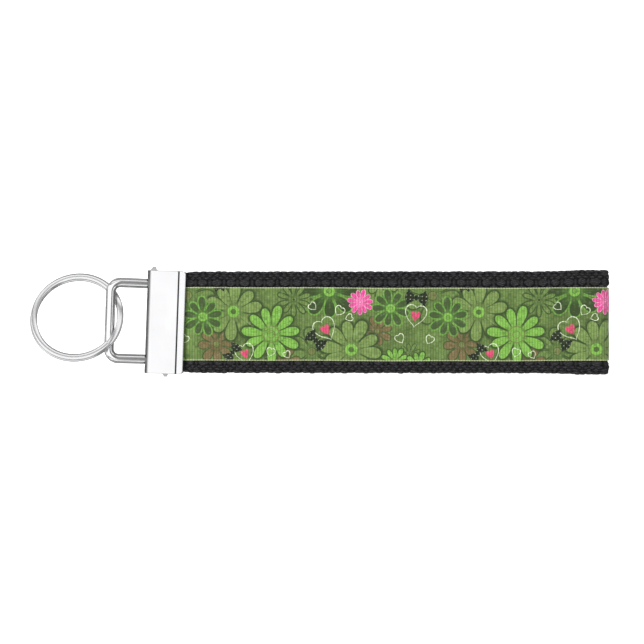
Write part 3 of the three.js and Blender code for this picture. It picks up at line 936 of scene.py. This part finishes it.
def clamp_skin(finish):
    """The bent sheet, with its slots, teeth and lugs; its ends and the lip's corners are rounded off."""
    outline, inward = (np.concatenate([upper, (upper * (1, -1))[::-1]]) for upper in jaw_outline())
    edge = CLAMP_WIDTH / 2
    rounding = edge - END_EDGE_R * (1 - np.sin(np.radians(np.linspace(90, 0, 7))))
    corner = edge - np.linspace(LIP_CORNER_R, END_EDGE_R, 10)
    ends = np.unique(np.round(np.concatenate([rounding, corner]), 4))
    stations = np.concatenate([-ends[::-1], np.linspace(-edge + 2, edge - 2, 15), ends])
    lip_zone = np.clip((outline[:, 0] - (CLAMP_DEPTH / 2 - CREASE_FROM_LIP + CREASE_HALF))
                       / (CREASE_FROM_LIP - CREASE_HALF), 0, 1)
    loops = []
    for y in stations:
        past = max(0.0, abs(y) - (edge - END_EDGE_R))
        inset = END_EDGE_R - math.sqrt(max(0.0, END_EDGE_R ** 2 - past ** 2))
        into_corner = min(LIP_CORNER_R, max(0.0, abs(y) - (edge - LIP_CORNER_R)))
        drawn_in = LIP_CORNER_R - math.sqrt(LIP_CORNER_R ** 2 - into_corner ** 2)
        section = outline + inward * inset
        x = section[:, 0] - drawn_in * lip_zone
        loops.append(np.stack([x, np.full(x.size, y), section[:, 1]], -1))
    clamp = swept("clamp_sheet", in_clamp(np.array(loops)), finish)

    for side in (-1, 1):
        slot_y = BAIL_Y + side * (BAIL_WIDTH / 2 - BAIL_WIRE_R)
        section = rounded_rectangle(SLOT_WIDE, SLOT_TALL, SLOT_CORNER_R, 6)
        outside, inside = -CLAMP_DEPTH / 2 - 1, -CLAMP_DEPTH / 2 + SLOT_DEEP
        wall = [[[x, slot_y + y, z] for y, z in section] for x in (outside, inside)]
        combine(clamp, swept("slot", in_clamp(np.array(wall)), finish), "DIFFERENCE")
    combine(clamp, clamp_teeth(finish), "UNION")
    tidy_normals(clamp)
    clamp.modifiers.new("level faces", "WEIGHTED_NORMAL").keep_sharp = True
    apply_modifiers(clamp)
    return clamp


def rounded_rectangle(width, height, radius, steps):
    """Points round a rectangle with round corners."""
    x, y = width / 2 - radius, height / 2 - radius
    corners = [arc(x, y, radius, 0, 90, steps), arc(-x, y, radius, 90, 180, steps),
               arc(-x, -y, radius, 180, 270, steps), arc(x, -y, radius, 270, 360, steps)]
    return np.concatenate(corners)


def clamp_teeth(finish):
    """The teeth inside both jaws and the lug at one end of each, as one object."""
    vertices, faces = [], []

    def add_prism(section, start, end, place):
        base = len(vertices)
        vertices.extend(place(a, b, depth) for depth in (start, end) for a, b in section)
        faces.extend([base + corner for corner in face] for face in closed_tube(2, len(section)))

    root = CLAMP_HEIGHT / 2 - SHEET + 0.1
    tip = CLAMP_HEIGHT / 2 - SHEET - TOOTH_TALL
    tooth_x = CLAMP_DEPTH / 2 - TOOTH_FROM_LIP
    edge = CLAMP_WIDTH / 2
    for jaw in (1, -1):
        for index in range(TEETH):
            y = (index - (TEETH - 1) / 2) * TOOTH_PITCH
            tooth = [(y - TOOTH_HALF, root), (y - TOOTH_TIP, tip),
                     (y + TOOTH_TIP, tip), (y + TOOTH_HALF, root)]
            add_prism(tooth, tooth_x - TOOTH_DEEP / 2, tooth_x + TOOTH_DEEP / 2,
                      lambda a, b, x: (x, jaw * a, jaw * b))
        lug = [(-LUG_BASE / 2, edge - LUG_ROOT), (LUG_BASE / 2, edge - LUG_ROOT),
               (LUG_BASE / 6, edge + LUG_TALL), (-LUG_BASE / 6, edge + LUG_TALL)]
        add_prism(lug, LUG_UNDER, CLAMP_HEIGHT / 2 - LUG_INSET,
                  lambda a, b, z: (a + LUG_X[jaw], jaw * b, jaw * z - LUG_DROP * ((b > edge) - (jaw < 0))))
    made = make_object("teeth", in_clamp(np.array(vertices)), faces, finish)
    tidy_normals(made)
    return made


def bail_skin(finish):
    """The wire loop, from one side of its butt joint to the other, swept with a round section."""
    half = BAIL_WIDTH / 2 - BAIL_WIRE_R
    reach = (CLAMP_X + INNER_BAR_X - BAR_X) / math.cos(BAIL_LIFT)
    wide, tight = BAIL_CORNER_R, BAIL_INNER_CORNER_R
    line = np.concatenate([
        [[0, BUTT_GAP / 2], [0, half - tight - 2]],
        arc(-tight, half - tight, tight, 0, 90, 12),
        np.linspace([-tight, half], [-reach + wide, half], 12)[1:-1],
        arc(-reach + wide, half - wide, wide, 90, 180, 18),
        np.linspace([-reach, half - wide], [-reach, -half + wide], 16)[1:-1],
        arc(-reach + wide, -half + wide, wide, 180, 270, 18),
        np.linspace([-reach + wide, -half], [-tight, -half], 12)[1:-1],
        arc(-tight, -half + tight, tight, 270, 360, 12),
        [[0, -half + tight + 2], [0, -BUTT_GAP / 2]]])
    tangent = np.gradient(line, axis=0)
    tangent /= np.linalg.norm(tangent, axis=1)[:, None]
    aside = np.stack([tangent[:, 1], -tangent[:, 0]], -1)
    around = np.linspace(0, 2 * PI, WIRE_STEPS, endpoint=False)
    out = BAIL_WIRE_R * np.cos(around)
    rise = BAIL_WIRE_R * np.sin(around)
    flat = line[:, None, :] + aside[:, None, :] * out[None, :, None]
    x, y = flat[..., 0], flat[..., 1] + BAIL_Y
    z = np.broadcast_to(rise, x.shape)
    lifted = np.stack([x * math.cos(BAIL_LIFT) + z * math.sin(BAIL_LIFT), y,
                       z * math.cos(BAIL_LIFT) - x * math.sin(BAIL_LIFT)], -1)
    return swept("bail_wire", in_clamp(lifted + (INNER_BAR_X, 0, 0)), finish)


def rounded_wire(width, height, fullness, steps):
    """Points round a section between an ellipse (fullness 1) and a rectangle (fullness 0)."""
    turn = np.linspace(0, 2 * PI, steps, endpoint=False)
    across, up = np.cos(turn), np.sin(turn)
    return np.stack([width / 2 * np.sign(across) * np.abs(across) ** fullness,
                     height / 2 * np.sign(up) * np.abs(up) ** fullness], -1)


def ring_skin(finish):
    """Flat wire coiled almost twice: level for most of each turn, with one step between the two."""
    wire_r = RING_OUTER_R - RING_WIRE_WIDE / 2
    coiled = 4 * PI - RING_STEP
    section = rounded_wire(RING_WIRE_WIDE, RING_WIRE_THICK, RING_FULLNESS, WIRE_STEPS)
    along = np.linspace(0, coiled, RING_STEPS + 1)
    extra = RING_END_ROUNDING / wire_r
    along = np.unique(np.concatenate([along, [extra, coiled - extra, extra * 0.4, coiled - extra * 0.4]]))
    near_end = np.minimum(along, coiled - along) / extra
    rounded = np.sqrt(np.clip(1 - (1 - near_end) ** 2, 0, 1))
    shrink = np.where(near_end < 1, RING_END_SIZE + (1 - RING_END_SIZE) * rounded, 1.0)
    ease = smooth((along - coiled / 2) / RING_STEP + 0.5)
    angle = (RING_STEP_AT - (along - coiled / 2))[:, None]
    slack = RING_SLACK * (1 - ease)[:, None]
    radius = wire_r + section[None, :, 0] * shrink[:, None]
    rise = section[None, :, 1] * shrink[:, None] + RING_PITCH * (0.5 - ease)[:, None]
    x, y = (radius - slack) * np.cos(angle) + slack, RING_OVAL * radius * np.sin(angle)
    z = np.broadcast_to(rise, x.shape)
    tilted = np.stack([x, y * math.cos(RING_TILT) - z * math.sin(RING_TILT),
                       y * math.sin(RING_TILT) + z * math.cos(RING_TILT)], -1)
    drop = RING_OUTER_R * math.sin(-RING_TILT) + (RING_WIRE_THICK + RING_PITCH) / 2 * math.cos(RING_TILT)
    return swept("ring_coil", (tilted + (RING_X, RING_Y, drop + RING_REST_GAP)) * MM, finish)


# ---- making the object ----

webbing_finish = webbing_material()
ribbon_finish = ribbon_material()
strap_pieces("webbing", WEB, webbing_surface, webbing_v(), WEB_STEP, webbing_finish)
strap_pieces("ribbon", RIBBON, ribbon_surface, ribbon_v(), RIB_PITCH / RIB_STEPS, ribbon_finish)

clamp_finish = clamp_metal()
bail_finish = metal("bail nickel", (0.88, 0.88, 0.89, 1), 0.12, (0.2, 1, 1))[0]
ring_finish = metal("ring steel", (0.78, 0.78, 0.79, 1), 0.14, (1, 1, 1))[0]
for make, body, node, slot, finish in ((clamp_skin, "root", "clamp", "clamp_nickel", clamp_finish),
                                       (bail_skin, "bail", "bail", "bail_nickel", bail_finish),
                                       (ring_skin, "split_ring", "split_ring", "ring_steel", ring_finish)):
    piece = make(finish)
    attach(piece, body)
    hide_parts(node)

# ---- floor, light and camera ----

def floor_material():
    """Pale paper, darker in the metal's mirror, with painted shade that is deepest near the object."""
    made, graph, shader = material("pale floor")
    ray = graph.node("LightPath").outputs
    x, y, _ = graph.split(graph.node("TexCoord").outputs["Object"])
    away = graph.length(graph.math("ADD", x, 0.06), y)
    # painted shade: the floor as the metal mirrors it darkens towards the object
    mirrored = graph.mix(graph.ramp(away, 0.12, 0.50), (0.20, 0.20, 0.20, 1), (0.60, 0.60, 0.60, 1))
    graph.fill(shader, {
        "Base Color": graph.mix(ray["Is Glossy Ray"], (0.93, 0.93, 0.93, 1), mirrored),
        "Emission Color": (1, 1, 1, 1),
        "Emission Strength": graph.times(ray["Is Camera Ray"], 0.30),
        "Roughness": 0.9,
        "Specular IOR Level": 0.1})
    return made


FLOOR = 3.0
BELOW = -0.05              # the floor lies below the reach of the open loop and of the hanging ring
corners = [(FLOOR * x, FLOOR * y, BELOW) for x, y in ((-1, -1), (1, -1), (1, 1), (-1, 1))]
make_object("floor", corners, [(0, 1, 2, 3)], floor_material())

scene.world = bpy.data.worlds.new("studio")
scene.world.use_nodes = True
sky = Graph(scene.world.node_tree)
toward_x, toward_y, upward = sky.split(sky.node("TexCoord").outputs["Generated"])
sideways = sky.math("ABSOLUTE", toward_y)


def between(value, low, high, soft):
    """1 from low to high and 0 outside, with soft edges."""
    rising = sky.ramp(value, low - soft, low + soft)
    return sky.times(rising, sky.ramp(value, high - soft, high + soft, 1.0, 0.0))


# What the metal mirrors: a wide panel overhead, a strip on each side, one at the fold's end, and a dark flag.
panel = sky.times(between(toward_x, -0.94, 0.34, 0.04), sky.ramp(sideways, 0.56, 0.64, 1.0, 0.0))
side_strips = sky.times(between(sideways, 0.73, 0.90, 0.03), sky.ramp(upward, 0.12, 0.2))
end_strip = sky.times(between(toward_x, 0.76, 0.88, 0.03), sky.ramp(sideways, 0.42, 0.52, 1.0, 0.0))
flag = sky.times(between(toward_x, 0.42, 0.66, 0.06), sky.ramp(sideways, 0.25, 0.60, 0.60, 0.0))
tone = sky.times(sky.ramp(upward, 0.05, 0.5, 0.10, 0.40), sky.minus(1.0, flag))
shining = sky.math("MAXIMUM", panel, sky.math("MAXIMUM", side_strips, end_strip))
brightness = sky.math("MULTIPLY_ADD", shining, 0.86, tone)
seen_directly = sky.node("LightPath").outputs["Is Camera Ray"]
backdrop = sky.math("MAXIMUM", brightness, seen_directly)
sky.node("OutputWorld", sky.node("Background", backdrop, 1.0).outputs[0])


def softbox(name, place, size, power):
    """A square area light, turned to the object, that no mirror shows."""
    light = bpy.data.lights.new(name, "AREA")
    light.size = size
    light.energy = power
    made = bpy.data.objects.new(name, light)
    made.location = place
    made.rotation_euler = (-Vector(place)).to_track_quat("-Z", "Y").to_euler()
    made.visible_glossy = False
    scene.collection.objects.link(made)


softbox("key", (-0.90, 0.30, 0.62), 0.40, 8.5)
softbox("fill", (0.80, -0.50, 0.90), 0.60, 3.5)

camera = bpy.data.objects.new("camera", bpy.data.cameras.new("camera"))
camera.data.lens = 85
camera.data.sensor_width = 36
camera.data.clip_start = 0.01
camera.location = (0.45 * MM, 0.08 * MM, 477.4 * MM)
scene.collection.objects.link(camera)
scene.camera = camera
scene.view_settings.view_transform = "Standard"
